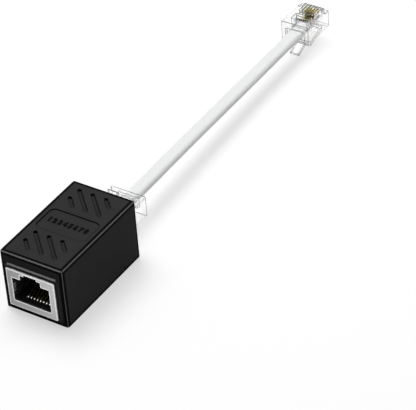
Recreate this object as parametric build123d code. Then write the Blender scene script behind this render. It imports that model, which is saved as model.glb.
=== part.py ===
from build123d import *
from dataclasses import dataclass
import math
import os

# Millimetres. X runs across the coupler, Y runs from its open jack towards the telephone
# plug, and Z is up. The origin is the middle of the coupler's underside.

# Coupler housing, an open-bottomed shell
housing_width = 20.8
housing_length = 35.6
housing_height = 19.8
housing_wall = 1.5
roof_thickness = 1.5
upright_edge_radius = 0.8
top_edge_radius = 0.6
bottom_edge_chamfer = 0.3
inner_corner_radius = 0.5
bezel_width = 0.5
bezel_height = 0.4

# Relief on top: a shallow label panel between two fields of slanted grip slots
panel_width = 16.4
panel_length = 9.0
panel_corner_radius = 1.7
panel_depth = 0.25
slot_width = 1.0
slot_depth = 0.6
slot_spacing = 4.5
slots_in_field = 4
slot_field_distance = 10.6
slot_field_half_width = 6.2
slot_field_half_length = 3.5
slot_end_offset = -0.4

# Small pins, their holes and the wires have this many flats
small_round_flats = 8
half_flat_turn = 180 / small_round_flats

# Base plate, snapped into the open bottom
base_thickness = 1.4
base_gap = 0.06
bead_height = 1.0
bead_reach = 0.3
bead_length = 9.0
bead_distance = 8.0
post_diameter = 2.4
peg_diameter = 1.1
peg_shortfall = 0.2
post_side = 6.6
post_distance = 11.5

# Circuit board that joins the two jacks
board_lift = 0.8
board_thickness = 1.0
board_side_gap = 0.3
board_end_gap = 0.1
hole_gap = 0.1

# Modular contacts, eight to a jack
contact_pitch = 1.02
contact_count = 8
contact_width = 0.4
contact_thickness = 0.3
contact_bend_cut = 0.2
contact_tail_depths = (12.6, 10.2)
contact_tail_below_board = 0.4
contact_run_height = 4.1
contact_fold_depth = 2.55
contact_fold_back = (0.2, 0.66)
contact_free_end = (11.4, 7.9)
contact_touch_gap = 0.04
contact_touch_behind = 0.9
contact_tip_before = 0.3
contact_tip_drop = 0.15

# Jack mouth: the stepped opening that takes the plug and its latch
jack_floor_height = 5.0
plug_side_gap = 0.16
plug_floor_gap = 0.15
plug_roof_gap = 0.6
plug_end_gap = 0.3
wide_notch_width = 6.5
wide_notch_rise = 1.6
narrow_notch_width = 3.9
narrow_notch_rise = 2.2
latch_pocket_width = 6.9
latch_pocket_rise = 2.5

# Jack insert and its metal shield
collar_reach = 1.2
collar_side = 2.0
collar_below = 2.4
collar_above = 2.9
collar_corner_radius = 0.4
window_gap = 0.05
flange_thickness = 1.2
flange_side_gap = 0.15
flange_rise = 0.8
insert_side = 1.5
insert_roof_rise = 3.1
insert_back_wall = 1.5
ledge_length = 2.4
channel_width = 0.6
channel_side_gap = 0.15
insert_pin_diameter = 1.4
insert_pin_side = 5.0
insert_pin_depth = 7.6
shield_thickness = 0.5
shield_reveal = 0.15
shield_edge_chamfer = 0.15
cheek_thickness = 0.25
cheek_length = 7.0
cheek_height = 5.0
cheek_bump_start = 0.1
cheek_bump_peak = 0.9
cheek_bump_reach = 0.26
cheek_bump_lift = 0.3
cheek_bump_height = 2.5
cheek_bump_length = 1.8
rib_thickness = 1.2
rib_depths = (6.5, 11.5)

# Clear network plug, eight contacts wide, seated in the rear jack
network_plug_width = 11.68
network_plug_height = 6.8
network_plug_length = 21.46
network_plug_insertion = 11.6
network_jacket_start = 8.2
network_window_start = 10.6
network_window_length = 3.6
network_window_width = 7.0
network_cord_height = 3.85
network_latch_shoulder_rise = 2.6
network_latch_tail_kink = (11.7, 1.5)
network_latch_tail_end = (14.9, 5.05)

# Clear telephone plug, six places and four contacts wide, latch downwards
telephone_place_count = 6
telephone_plug_width = 9.65
telephone_plug_height = 6.6
telephone_plug_length = 12.9
telephone_jacket_start = 6.1
telephone_window_start = 6.9
telephone_window_length = 3.2
telephone_window_width = 5.6
telephone_cord_height = 4.0
telephone_latch_shoulder_rise = 3.1
telephone_latch_tail_kink = (10.4, 2.3)
telephone_latch_tail_end = (13.8, 4.45)
telephone_plug_side = -2.28
telephone_plug_back = 126.0

# Shared plug details
plug_edge_radius = 0.25
nose_chamfer = 0.5
ridge_slot_width = 0.6
ridge_slot_length = 5.2
ridge_slot_depth = 1.0
rail_step_width = 1.5
rail_step_length = 2.2
rail_step_depth = 0.9
latch_width = 6.0
latch_root = 0.9
latch_root_length = 1.3
latch_gap = 0.15
latch_root_height = 0.95
latch_shoulder_distance = 8.4
latch_shoulder_height = 1.35
latch_sunk = 0.6
latch_lip = 0.45
latch_lead = 0.5
tail_width = 3.2
tail_thickness = 0.8
tail_overlap = 1.2
tail_root_sunk = 0.15
tail_root_thickness = 0.8
tail_kink_setback = 0.4
blade_thickness = 0.3
blade_front = 0.45
blade_length = 3.3
blade_recess = 0.45
blade_root_height = 2.75
blade_nose_height = 0.8
blade_nose_corner = (0.2, 0.25)
blade_nose_length = 0.75
tooth_height = 0.65
tooth_count = 3
tooth_margin = 0.1
teeth_clear_of_front = 0.5
tooth_share = 0.6
blade_pocket_gap = 0.03
wire_diameter = 0.9
wire_height = 3.3
wire_front = 0.8
wire_channel_gap = 0.04
fan_length = 2.2
fan_bends = (1.8, 0.5)
wire_bend_radius = 1.0
strain_bar_length = 1.6
strain_bar_web = 0.5
strain_bar_root = 0.9
strain_bar_overlap = 0.2
strain_bar_tip = 0.5
strain_bar_back_depth = 0.8
strain_bar_front_lift = (0.3, 0.4)
strain_bar_touch = 0.02
strain_bar_side_gap = 0.2
cord_tunnel_gap = 0.1
mouth_flare = 0.5
mouth_side_flare = 1.0
mouth_depth = 0.8

# Flat cord
cord_width = 4.7
cord_thickness = 2.3
cord_end_flats = 6
cord_route = [
    (0.0, 15.6, 9.0),
    (0.0, 34.0, 9.0),
    (-0.9, 56.0, 8.35),
    (-1.65, 79.0, 7.55),
    (-2.15, 101.0, 7.0),
    (-2.28, 119.0, 7.05),
    (-2.28, 132.8, 7.05),
]
cord_arc_share = 0.45

# Places that follow from the sizes above
inner_half_width = housing_width / 2 - housing_wall
inner_half_length = housing_length / 2 - housing_wall
roof_height = housing_height - roof_thickness
jack_face = housing_length / 2 + collar_reach
board_bottom = base_thickness + board_lift
board_top = board_bottom + board_thickness
cavity_width = network_plug_width + 2 * plug_side_gap
cavity_roof = jack_floor_height + plug_floor_gap + network_plug_height + plug_roof_gap
cavity_depth = network_plug_insertion + plug_end_gap
collar_width = cavity_width + 2 * collar_side
collar_bottom = jack_floor_height - collar_below
collar_top = cavity_roof + collar_above
flange_top = collar_top + flange_rise
flange_depth = collar_reach + housing_wall
block_depth = flange_depth + flange_thickness
insert_depth = cavity_depth + insert_back_wall
insert_top = cavity_roof + insert_roof_rise
insert_width = cavity_width + 2 * insert_side
network_plug_nose = jack_face - network_plug_insertion
network_plug_bottom = jack_floor_height + plug_floor_gap
telephone_plug_nose = telephone_plug_back + telephone_plug_length
telephone_contact_face = telephone_plug_height + telephone_latch_tail_end[1]
wire_colours = ("yellow", "green", "red", "black")


@dataclass
class PlugSizes:
    """What differs between the two clear plugs."""
    width: float
    height: float
    length: float
    places: int
    blades: int
    jacket_start: float
    window_start: float
    window_length: float
    window_width: float
    cord_height: float
    shoulder_rise: float
    tail_kink: tuple
    tail_end: tuple


network_plug = PlugSizes(
    width=network_plug_width, height=network_plug_height, length=network_plug_length,
    places=contact_count, blades=contact_count, jacket_start=network_jacket_start,
    window_start=network_window_start, window_length=network_window_length,
    window_width=network_window_width, cord_height=network_cord_height,
    shoulder_rise=network_latch_shoulder_rise, tail_kink=network_latch_tail_kink,
    tail_end=network_latch_tail_end)
telephone_plug = PlugSizes(
    width=telephone_plug_width, height=telephone_plug_height, length=telephone_plug_length,
    places=telephone_place_count, blades=len(wire_colours), jacket_start=telephone_jacket_start,
    window_start=telephone_window_start, window_length=telephone_window_length,
    window_width=telephone_window_width, cord_height=telephone_cord_height,
    shoulder_rise=telephone_latch_shoulder_rise, tail_kink=telephone_latch_tail_kink,
    tail_end=telephone_latch_tail_end)

# A front jack looks towards -Y and a rear jack is the same thing turned about Z. A network
# plug points towards -Y with its contacts down, a telephone plug the other way up and round.
rear_turn = Rot(0, 0, 180)
network_plug_place = Pos(0, network_plug_nose, network_plug_bottom)
telephone_plug_place = (
    Pos(telephone_plug_side, telephone_plug_nose, telephone_contact_face) * Rot(180, 0, 0))


def block(x_range, y_range, z_range):
    """A plain block between two values on each axis."""
    centre = [(low + high) / 2 for low, high in (x_range, y_range, z_range)]
    size = [high - low for low, high in (x_range, y_range, z_range)]
    return Pos(*centre) * Box(*size)


def across(half):
    """A range that lies evenly about the middle."""
    return (-half, half)


def row_of(count):
    """Where the contacts of a row stand across the plug."""
    return [(place - (count - 1) / 2) * contact_pitch for place in range(count)]


def side_profile(points, width):
    """A prism of the given width across X, from an outline of (y, z) points."""
    outline = make_face(Polyline([*points, points[0]]))
    return extrude(Plane.YZ * outline, amount=width / 2, both=True)


def small_round(diameter):
    """The outline of a small pin, hole or wire: a polygon that the circle fits inside."""
    return RegularPolygon(
        diameter / 2, small_round_flats, major_radius=False, rotation=half_flat_turn)


def upright_pin(diameter, low, high):
    """A small upright pin, or the tool for its hole, between two heights."""
    return extrude(Pos(0, 0, low) * small_round(diameter), amount=high - low)


def front_profile(sketch, y_start, y_end):
    """A prism along Y from a sketch of (x, z), between two values of y."""
    return extrude(Plane.XZ.offset(-y_end) * sketch, amount=y_end - y_start)


def inside(depth):
    """The y of a point that deep inside the front jack."""
    return depth - jack_face


# Coupler housing
def slot_cuts():
    """Slanted slots, each trimmed to the field that it lies in."""
    cuts = []
    for field in (-slot_field_distance, slot_field_distance):
        for number in range(slots_in_field):
            shift = (number - (slots_in_field - 1) / 2) * slot_spacing
            x_start = max(-slot_field_half_width, shift - slot_field_half_length)
            x_end = min(slot_field_half_width, shift + slot_field_half_length)
            middle = (x_start + x_end) / 2
            run = math.sqrt(2) * (x_end - x_start)
            slot = SlotCenterToCenter(run, slot_width, rotation=-45)
            side = middle + slot_end_offset
            place = Pos(side, field + shift - side, housing_height - slot_depth)
            cuts.append(extrude(place * slot, amount=2 * slot_depth))
    return cuts


def make_housing_shell():
    shell = Pos(0, 0, housing_height / 2) * Box(housing_width, housing_length, housing_height)
    shell = fillet(shell.edges().filter_by(Axis.Z), upright_edge_radius)
    shell = fillet(shell.faces().sort_by(Axis.Z)[-1].edges(), top_edge_radius)
    shell = chamfer(shell.faces().sort_by(Axis.Z)[0].edges(), bottom_edge_chamfer)
    hollow = RectangleRounded(2 * inner_half_width, 2 * inner_half_length, inner_corner_radius)
    shell -= extrude(hollow, amount=roof_height)
    bezel = make_bezel()
    shell += bezel
    shell += rear_turn * bezel
    shell -= block(
        across(collar_width / 2 + window_gap), across(housing_length / 2 + bezel_height),
        (collar_bottom - window_gap, collar_top + window_gap))
    shell -= slot_cuts()
    panel = RectangleRounded(panel_width, panel_length, panel_corner_radius)
    shell -= extrude(Pos(0, 0, housing_height - panel_depth) * panel, amount=2 * panel_depth)
    for depth in rib_depths:
        for end in (-1, 1):
            middle = end * inside(depth)
            shell += block(
                across(inner_half_width), (middle - rib_thickness / 2, middle + rib_thickness / 2),
                (insert_top + window_gap, roof_height))
    for cut in snap_beads(base_gap):
        shell -= cut
    return shell


def make_bezel():
    """The raised rim with sloping sides round a jack's window."""
    height = collar_top - collar_bottom
    outline = Pos(0, (collar_top + collar_bottom) / 2) * RectangleRounded(
        collar_width + 2 * (window_gap + bezel_width + bezel_height),
        height + 2 * (window_gap + bezel_width + bezel_height),
        collar_corner_radius + bezel_width + bezel_height)
    return extrude(
        Plane.XZ.offset(housing_length / 2) * outline, amount=bezel_height, taper=45)


def snap_beads(grow):
    """The ridges on the base plate's long sides, or the grooves they click into."""
    edge = inner_half_width - base_gap
    middle = base_thickness / 2
    half = bead_height / 2 - bead_reach + grow
    outline = [
        (edge - bead_reach, middle - half - bead_reach), (edge, middle - half - bead_reach),
        (edge + bead_reach + grow, middle - half), (edge + bead_reach + grow, middle + half),
        (edge, middle + half + bead_reach), (edge - bead_reach, middle + half + bead_reach)]
    beads = []
    for side in (-1, 1):
        face = make_face(Polyline([(side * x, z) for x, z in [*outline, outline[0]]]))
        for place in (-bead_distance, bead_distance):
            half_length = bead_length / 2 + grow
            beads.append(front_profile(face, place - half_length, place + half_length))
    return beads


def post_places():
    """Where the four posts under the circuit board stand."""
    return GridLocations(2 * post_side, 2 * post_distance, 2, 2)


def make_base_plate():
    corner = inner_corner_radius + base_gap
    outline = RectangleRounded(
        2 * (inner_half_width - base_gap), 2 * (inner_half_length - base_gap), corner)
    plate = extrude(outline, amount=base_thickness)
    for bead in snap_beads(0):
        plate += bead
    for place in post_places():
        plate += place * upright_pin(post_diameter, base_thickness, board_bottom)
        plate += place * upright_pin(peg_diameter, board_bottom, board_top - peg_shortfall)
    return plate


def make_circuit_board():
    half_length = -inside(block_depth) - board_end_gap
    half_width = inner_half_width - board_side_gap
    board = block(across(half_width), across(half_length), (board_bottom, board_top))
    tail_hole = math.hypot(contact_width, contact_thickness) + 2 * hole_gap
    holes = [(place, peg_diameter + 2 * hole_gap) for place in post_places()]
    for turn in (Rot(0, 0, 0), rear_turn):
        for number, x in enumerate(row_of(contact_count)):
            depth = contact_tail_depths[number % 2]
            holes.append((turn * Pos(x, inside(depth)), tail_hole))
        for x in (-insert_pin_side, insert_pin_side):
            place = turn * Pos(x, inside(insert_pin_depth))
            holes.append((place, insert_pin_diameter + 2 * hole_gap))
    for place, diameter in holes:
        board -= place * upright_pin(diameter, board_bottom, board_top)
    return board


# Jack, drawn as the front one
def mouth_outline(grow):
    """The stepped opening seen from the front, grown evenly all round."""
    steps = [
        (cavity_width / 2, cavity_roof),
        (wide_notch_width / 2, cavity_roof + wide_notch_rise),
        (narrow_notch_width / 2, cavity_roof + narrow_notch_rise)]
    right = [(cavity_width / 2 + grow, jack_floor_height - grow)]
    for number, (half, top) in enumerate(steps):
        right.append((half + grow, top + grow))
        if number + 1 < len(steps):
            right.append((steps[number + 1][0] + grow, top + grow))
    left = [(-x, z) for x, z in reversed(right)]
    return make_face(Polyline([*right, *left, right[0]]))


def make_jack_insert():
    height = collar_top - collar_bottom
    collar = Pos(0, (collar_top + collar_bottom) / 2) * RectangleRounded(
        collar_width, height, collar_corner_radius)
    insert = front_profile(collar, inside(shield_thickness), inside(flange_depth))
    flange = block(
        across(inner_half_width - flange_side_gap), (inside(flange_depth), inside(block_depth)),
        (base_thickness + window_gap, flange_top))
    insert += fillet(flange.edges().filter_by(Axis.Z).group_by(Axis.Y)[0], inner_corner_radius)
    insert += block(
        across(insert_width / 2), (inside(block_depth), inside(insert_depth)),
        (board_top, insert_top))
    for x in (-insert_pin_side, insert_pin_side):
        insert += Pos(x, inside(insert_pin_depth)) * upright_pin(
            insert_pin_diameter, board_bottom, board_top)
    ledge_end = inside(shield_thickness + ledge_length)
    insert -= front_profile(mouth_outline(0), inside(0), ledge_end)
    insert -= block(
        across(cavity_width / 2), (inside(0), inside(cavity_depth)),
        (jack_floor_height, cavity_roof))
    insert -= block(
        across(latch_pocket_width / 2), (ledge_end, inside(cavity_depth)),
        (cavity_roof, cavity_roof + latch_pocket_rise))
    insert -= cheek_pockets()
    insert -= contact_channels()
    return insert


def cheek_pockets():
    """Shallow recesses in the cavity's side walls for the shield's cheeks."""
    half_height = cheek_height / 2 + window_gap
    middle = (jack_floor_height + cavity_roof) / 2
    reach = cavity_width / 2 + shield_reveal + cheek_thickness + window_gap
    return block(
        across(reach), (inside(shield_thickness), inside(shield_thickness + cheek_length + window_gap)),
        (middle - half_height, middle + half_height))


def contact_channels():
    """A groove in the cavity's floor and a hole to the board for each contact."""
    low = contact_run_height - contact_thickness / 2 - channel_side_gap
    front = contact_fold_depth - contact_thickness / 2 - channel_side_gap
    cuts = []
    for number, x in enumerate(row_of(contact_count)):
        tail = contact_tail_depths[number % 2]
        span = (x - channel_width / 2, x + channel_width / 2)
        end = tail + contact_thickness / 2 + channel_side_gap
        open_end = min(end, cavity_depth)
        cuts.append(block(span, (inside(front), inside(open_end)), (low, jack_floor_height)))
        ceiling = contact_run_height + contact_thickness / 2 + channel_side_gap
        if end > open_end:
            cuts.append(block(span, (inside(open_end), inside(end)), (low, ceiling)))
        start = tail - contact_thickness / 2 - channel_side_gap
        cuts.append(block(span, (inside(start), inside(end)), (board_top, low)))
    return cuts


def make_jack_shield():
    """A plate over the collar's face, with a sprung cheek folded in at each side."""
    height = collar_top - collar_bottom
    outline = Pos(0, (collar_top + collar_bottom) / 2) * RectangleRounded(
        collar_width, height, collar_corner_radius)
    plate = front_profile(outline, inside(0), inside(shield_thickness))
    plate = chamfer(plate.faces().sort_by(Axis.Y)[0].edges(), shield_edge_chamfer)
    plate -= front_profile(mouth_outline(shield_reveal), inside(0), inside(shield_thickness))
    middle = (jack_floor_height + cavity_roof) / 2
    wall = cavity_width / 2 + shield_reveal
    back = inside(shield_thickness + cheek_length)
    for side in (-1, 1):
        x_range = sorted((side * wall, side * (wall + cheek_thickness)))
        cheek = block(
            x_range, (inside(shield_thickness), back),
            (middle - cheek_height / 2, middle + cheek_height / 2))
        start = (side * wall, inside(cheek_bump_start))
        bump = make_face(Polyline([
            start, (side * (wall - cheek_bump_reach), inside(cheek_bump_peak)),
            (side * wall, inside(cheek_bump_start + cheek_bump_length)),
            (side * (wall + cheek_thickness / 2), inside(cheek_bump_peak)), start]))
        lift = Pos(0, 0, middle - cheek_bump_height / 2 + cheek_bump_lift)
        plate += cheek
        plate += extrude(lift * bump, amount=cheek_bump_height)
    return plate


def cut_corners(points, cut):
    """The same line with each inner corner cut off, so that it bends in two steps."""
    line = [Vector(*points[0])]
    for before, corner, after in zip(points, points[1:], points[2:]):
        corner = Vector(*corner)
        line.append(corner + (Vector(*before) - corner).normalized() * cut)
        line.append(corner + (Vector(*after) - corner).normalized() * cut)
    return [*line, Vector(*points[-1])]


def strip_outline(line, thickness):
    """The outline of a strip of even thickness along a line, mitred at its corners."""
    left, right = [], []
    for number, point in enumerate(line):
        runs = [b - a for a, b in zip(line, line[1:])][max(number - 1, 0):number + 1]
        normals = [Vector(-run.Y, run.X).normalized() for run in runs]
        mitre = (normals[0] + normals[-1]).normalized()
        reach = mitre * (thickness / 2 / mitre.dot(normals[0]))
        left.append(point + reach)
        right.append(point - reach)
    return [(point.X, point.Y) for point in [*left, *reversed(right)]]


def contact_solid(number, route):
    """One bent contact: its tail stands in the board, and its run ends as the route says."""
    tail = contact_tail_depths[number % 2]
    points = [
        (tail, board_bottom - contact_tail_below_board), (tail, contact_run_height),
        (contact_fold_depth, contact_run_height), *route]
    line = cut_corners([(inside(depth), z) for depth, z in points], contact_bend_cut)
    strip = side_profile(strip_outline(line, contact_thickness), contact_width)
    return Pos(row_of(contact_count)[number], 0, 0) * strip


def fold_end():
    """Where a contact's run has turned back on itself at the mouth."""
    back, up = contact_fold_back
    return (contact_fold_depth + back, contact_run_height + up)


def free_route():
    """A sprung contact with no plug in the jack."""
    return [fold_end(), contact_free_end]


def pressed_route():
    """A sprung contact held down in a plug's slot, against the foot of the blade."""
    touch_depth = network_plug_insertion - blade_front - blade_length + contact_touch_behind
    touch_height = (
        network_plug_bottom + blade_recess - contact_thickness / 2 - contact_touch_gap)
    return [
        fold_end(),
        (network_plug_insertion - ridge_slot_length - contact_touch_behind, fold_end()[1]),
        (touch_depth, touch_height),
        (network_plug_insertion - contact_tip_before, touch_height - contact_tip_drop)]


# Clear plugs, drawn with the nose at y = 0, the contact face at z = 0 and the latch on top
def blade_outline():
    """A blade's side view: rounded front edge, flat foot and piercing teeth."""
    back = blade_front + blade_length
    corner_y, corner_z = blade_nose_corner
    points = [
        (blade_front, blade_recess + blade_nose_height),
        (blade_front + corner_y, blade_recess + corner_z),
        (blade_front + blade_nose_length, blade_recess), (back, blade_recess),
        (back, blade_root_height)]
    pitch = (blade_length - tooth_margin - teeth_clear_of_front) / tooth_count
    tooth = tooth_share * pitch
    for number in range(tooth_count):
        start = back - tooth_margin - number * pitch
        points += [
            (start, blade_root_height), (start - tooth / 2, blade_root_height + tooth_height),
            (start - tooth, blade_root_height)]
    return [*points, (blade_front, blade_root_height)]


def make_blade(x):
    return Pos(x, 0, 0) * side_profile(blade_outline(), blade_thickness)


def wire_route(plug, x):
    """From under the blades back to the cut end of the jacket."""
    start = plug.jacket_start
    rise = plug.cord_height
    first_bend, last_bend = fan_bends
    return FilletPolyline(
        [(x, wire_front, wire_height), (x, start - first_bend, wire_height),
         (x, start - last_bend, rise), (x, start, rise)],
        radius=[wire_bend_radius] * 2)


def make_wire(plug, x):
    line = wire_route(plug, x)
    section = Plane(origin=line @ 0, x_dir=(1, 0, 0), z_dir=line % 0)
    wire = sweep(section * small_round(wire_diameter), path=line)
    return wire - make_blade(x)


def latch_solid(plug):
    """The latch: a wedge rooted at the nose, and a narrower finger tail behind it."""
    top = plug.height
    root_back = latch_root + latch_root_length
    shoulder = latch_shoulder_distance
    under = plug.shoulder_rise - latch_shoulder_height
    arm = side_profile([
        (latch_root, top - latch_sunk), (latch_root, top + latch_lip),
        (latch_root + latch_lead, top + latch_root_height),
        (shoulder, top + plug.shoulder_rise), (shoulder, top + under),
        (root_back, top + latch_gap), (root_back, top - latch_sunk)],
        latch_width)
    kink_y, kink_z = plug.tail_kink
    end_y, end_z = plug.tail_end
    slope = math.atan2(end_z - tail_thickness - kink_z, end_y - kink_y)
    lean_y = tail_thickness * math.sin(slope)
    lean_z = tail_thickness * math.cos(slope)
    root = top + under - tail_root_sunk
    tail = side_profile([
        (shoulder - tail_overlap, root), (kink_y, top + kink_z),
        (end_y, top + end_z - lean_z), (end_y - lean_y, top + end_z),
        (kink_y - tail_kink_setback, top + kink_z + tail_thickness),
        (shoulder - tail_overlap, root + tail_root_thickness)], tail_width)
    return arm + tail


def strain_bar(plug):
    """The bar that is pressed down on the jacket through the window when crimped."""
    front = plug.window_start
    jacket = plug.cord_height - cord_thickness / 2
    back = front + strain_bar_length
    start = front - strain_bar_overlap
    lift_y, lift_z = strain_bar_front_lift
    return side_profile([
        (start, strain_bar_root), (front + strain_bar_web, strain_bar_root),
        (back, jacket - strain_bar_tip - strain_bar_back_depth), (back, jacket - strain_bar_tip),
        (back - strain_bar_tip, jacket - strain_bar_touch), (front + lift_y, jacket - lift_z),
        (start, strain_bar_root + strain_bar_web)],
        plug.window_width - 2 * strain_bar_side_gap)


def make_plug_body(plug):
    half = plug.width / 2
    body = side_profile([
        (nose_chamfer, 0), (plug.length, 0), (plug.length, plug.height),
        (nose_chamfer, plug.height), (0, plug.height - nose_chamfer), (0, nose_chamfer)],
        plug.width)
    body = fillet(body.edges().filter_by(Axis.Y), plug_edge_radius)
    body += latch_solid(plug)
    for x in row_of(plug.places):
        body -= block(
            (x - ridge_slot_width / 2, x + ridge_slot_width / 2),
            (0, ridge_slot_length), (0, ridge_slot_depth))
    for side in (-1, 1):
        x_range = sorted((side * half, side * (half - rail_step_width)))
        body -= block(x_range, (0, rail_step_length), (0, rail_step_depth))
    pocket = blade_thickness / 2 + blade_pocket_gap
    pocket_top = blade_root_height + tooth_height + blade_pocket_gap
    for x in row_of(plug.blades):
        body -= block(
            (x - pocket, x + pocket),
            (blade_front - blade_pocket_gap, blade_front + blade_length + blade_pocket_gap),
            (0, pocket_top))
    channel = wire_diameter / 2 + wire_channel_gap
    fan_front = plug.jacket_start - fan_length
    for x in row_of(len(wire_colours)):
        bore = Pos(x, wire_height) * small_round(2 * channel)
        body -= front_profile(bore, wire_front - wire_channel_gap, fan_front)
    fan_half = row_of(len(wire_colours))[-1] + channel
    body -= block(
        across(fan_half), (fan_front, plug.jacket_start),
        (wire_height - channel, plug.cord_height + channel))
    tunnel = Pos(0, plug.cord_height) * SlotOverall(
        cord_width + 2 * cord_tunnel_gap, cord_thickness + 2 * cord_tunnel_gap)
    body -= front_profile(tunnel, plug.jacket_start - cord_tunnel_gap, plug.length)
    window = Pos(0, plug.window_start + plug.window_length / 2) * Rectangle(
        plug.window_width, plug.window_length)
    body -= extrude(window, amount=plug.cord_height - cord_thickness / 4)
    body += strain_bar(plug) - front_profile(tunnel, 0, plug.length)
    mouth = Pos(0, plug.cord_height) * Rectangle(
        cord_width + 2 * mouth_side_flare, cord_thickness + 2 * mouth_flare)
    body -= front_profile(mouth, plug.length - mouth_depth, plug.length)
    return body


# Flat cord: straight runs joined by the largest arcs that the runs allow
def cord_radii():
    """A radius for each inner point of the route, from its shorter run and its turn."""
    points = [Vector(*point) for point in cord_route]
    radii = []
    for before, corner, after in zip(points, points[1:], points[2:]):
        shorter = min((corner - before).length, (after - corner).length)
        turn = math.radians((corner - before).get_angle(after - corner))
        radii.append(cord_arc_share * shorter / math.tan(turn / 2))
    return radii


def cord_section():
    """The jacket's section: two flat sides, and ends rounded by short flats."""
    radius = cord_thickness / 2
    outline = []
    for end, first_angle in ((1, -90), (-1, 90)):
        middle = end * (cord_width / 2 - radius)
        for step in range(cord_end_flats + 1):
            angle = math.radians(first_angle + 180 * step / cord_end_flats)
            outline.append((middle + radius * math.cos(angle), radius * math.sin(angle)))
    return make_face(Polyline([*outline, outline[0]]))


def make_flat_cord():
    radii = cord_radii()
    line = FilletPolyline(cord_route, radius=radii)
    start = Plane(origin=line @ 0, x_dir=(1, 0, 0), z_dir=line % 0)
    jacket = start * cord_section()
    cord = sweep(jacket, path=line)
    print("cord radii", [round(radius) for radius in radii])
    print("cord length", round(line.length, 2), "volume", round(cord.volume, 2),
          "section times length", round(jacket.area * line.length, 2))
    return cord


def build_nodes():
    """Every sub-part by its name."""
    nodes = {
        "housing_shell": make_housing_shell(),
        "base_plate": make_base_plate(),
        "circuit_board": make_circuit_board()}
    insert = make_jack_insert()
    shield = make_jack_shield()
    nodes["front_jack_insert"] = insert
    nodes["rear_jack_insert"] = rear_turn * insert
    nodes["front_shield"] = shield
    nodes["rear_shield"] = rear_turn * shield
    for number in range(contact_count):
        nodes[f"front_contact_{number + 1}"] = contact_solid(number, free_route())
        nodes[f"rear_contact_{number + 1}"] = rear_turn * contact_solid(number, pressed_route())
    nodes["network_plug_body"] = network_plug_place * make_plug_body(network_plug)
    for number, x in enumerate(row_of(network_plug.blades)):
        nodes[f"network_blade_{number + 1}"] = network_plug_place * make_blade(x)
    nodes["telephone_plug_body"] = telephone_plug_place * make_plug_body(telephone_plug)
    for number, x in enumerate(row_of(telephone_plug.blades)):
        nodes[f"telephone_blade_{number + 1}"] = telephone_plug_place * make_blade(x)
    for colour, x in zip(wire_colours, row_of(len(wire_colours))):
        nodes[f"network_wire_{colour}"] = network_plug_place * make_wire(network_plug, x)
        nodes[f"telephone_wire_{colour}"] = telephone_plug_place * make_wire(telephone_plug, x)
    nodes["flat_cord"] = make_flat_cord()
    return nodes


os.makedirs("parts", exist_ok=True)
for name, solid in build_nodes().items():
    export_step(solid, f"parts/{name}.step")
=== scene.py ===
"""Looks of a network to telephone adapter: black inline coupler, white flat cord, clear plugs."""

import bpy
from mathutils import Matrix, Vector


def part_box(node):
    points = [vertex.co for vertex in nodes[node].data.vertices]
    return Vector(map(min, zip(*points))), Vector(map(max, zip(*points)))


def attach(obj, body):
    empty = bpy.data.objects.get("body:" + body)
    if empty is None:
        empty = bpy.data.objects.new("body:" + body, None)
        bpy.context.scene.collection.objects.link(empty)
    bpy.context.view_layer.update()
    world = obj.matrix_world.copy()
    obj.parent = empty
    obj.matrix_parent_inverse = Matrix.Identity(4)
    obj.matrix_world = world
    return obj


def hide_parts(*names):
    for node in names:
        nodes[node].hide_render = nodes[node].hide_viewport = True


bl_info = {
    "name": "Network to telephone adapter",
    "version": (1, 0, 0),
    "blender": (4, 5, 0),
    "location": "3D View > Sidebar > Adapter",
    "description": "Finishes, cord, wires, label numbers and stage for the adapter",
    "category": "Object",
}

import math

import bpy
from mathutils import Matrix, Vector

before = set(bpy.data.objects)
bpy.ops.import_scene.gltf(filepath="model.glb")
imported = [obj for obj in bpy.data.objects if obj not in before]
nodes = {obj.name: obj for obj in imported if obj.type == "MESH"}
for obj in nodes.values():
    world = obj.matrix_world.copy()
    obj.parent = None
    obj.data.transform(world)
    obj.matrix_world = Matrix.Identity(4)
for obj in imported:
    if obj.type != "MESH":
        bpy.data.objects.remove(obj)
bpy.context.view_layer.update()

MM = 0.001

# The cord's route, from inside the seated plug to inside the telephone plug
CORD_ROUTE = [
    (0.0, 0.0156, 0.009),
    (0.0, 0.034, 0.009),
    (-0.0009, 0.056, 0.00835),
    (-0.00165, 0.079, 0.00755),
    (-0.00215, 0.101, 0.007),
    (-0.00228, 0.119, 0.00705),
    (-0.00228, 0.1328, 0.00705),
]
PLUG_ENDS = {"network": CORD_ROUTE[0], "telephone": CORD_ROUTE[-1]}
WIRE_COLOURS = ("yellow", "green", "red", "black")
WIRE_SIDES = 20
WIRE_BEND_STEPS = 6
PLACES = range(1, 9)

# Share of gloss and painted highlight on the housing's upright, side and end edges and on its
# rims' sides; a rim's top has 1
EDGE_POLISH_AND_HIGHLIGHT = (0.4, 0.31, 0.58)
RIM_SIDE_POLISH_AND_HIGHLIGHT = 0.07
# Where an edge's gloss and painted highlight, and the painted dark band beside it, set in and are
# full, from 0 at their reach to 1 on the edge
POLISH_AND_HIGHLIGHT_STEP = (0.3, 0.6)
BAND_STEP = (0.0, 0.1)
# A face's upward share, from a rim's side to its top with the full painted highlight, and the most
# that a recess's wall with painted shade has
RIM_TOP_STEP = (0.1, 0.6)
WALL_UPWARD = 0.6
# How far past the walls a rim counts, and how far inland and how deep a recess lies
RIM_PROUD = 0.02 * MM
RECESS_INLAND = 1.2 * MM
RECESS_DEPTH = 1.0 * MM
# Lightness of the painted shade in the dark lines, bands and recesses, next to the faces
SHADOW_SHARE = 0.08

# How fine the streaks in plated metal are along x, y and z, and how deep
SHIELD_STREAKS = (2600.0, 300.0, 5200.0)
CONTACT_STREAKS = (2600.0, 700.0, 2600.0)
STREAK_DEPTH = 0.002 * MM
# Where the painted glint on a contact's bend begins and where it is full, back from its tip
BEND_SHINE = (0.8 * MM, 0.5 * MM)
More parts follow.
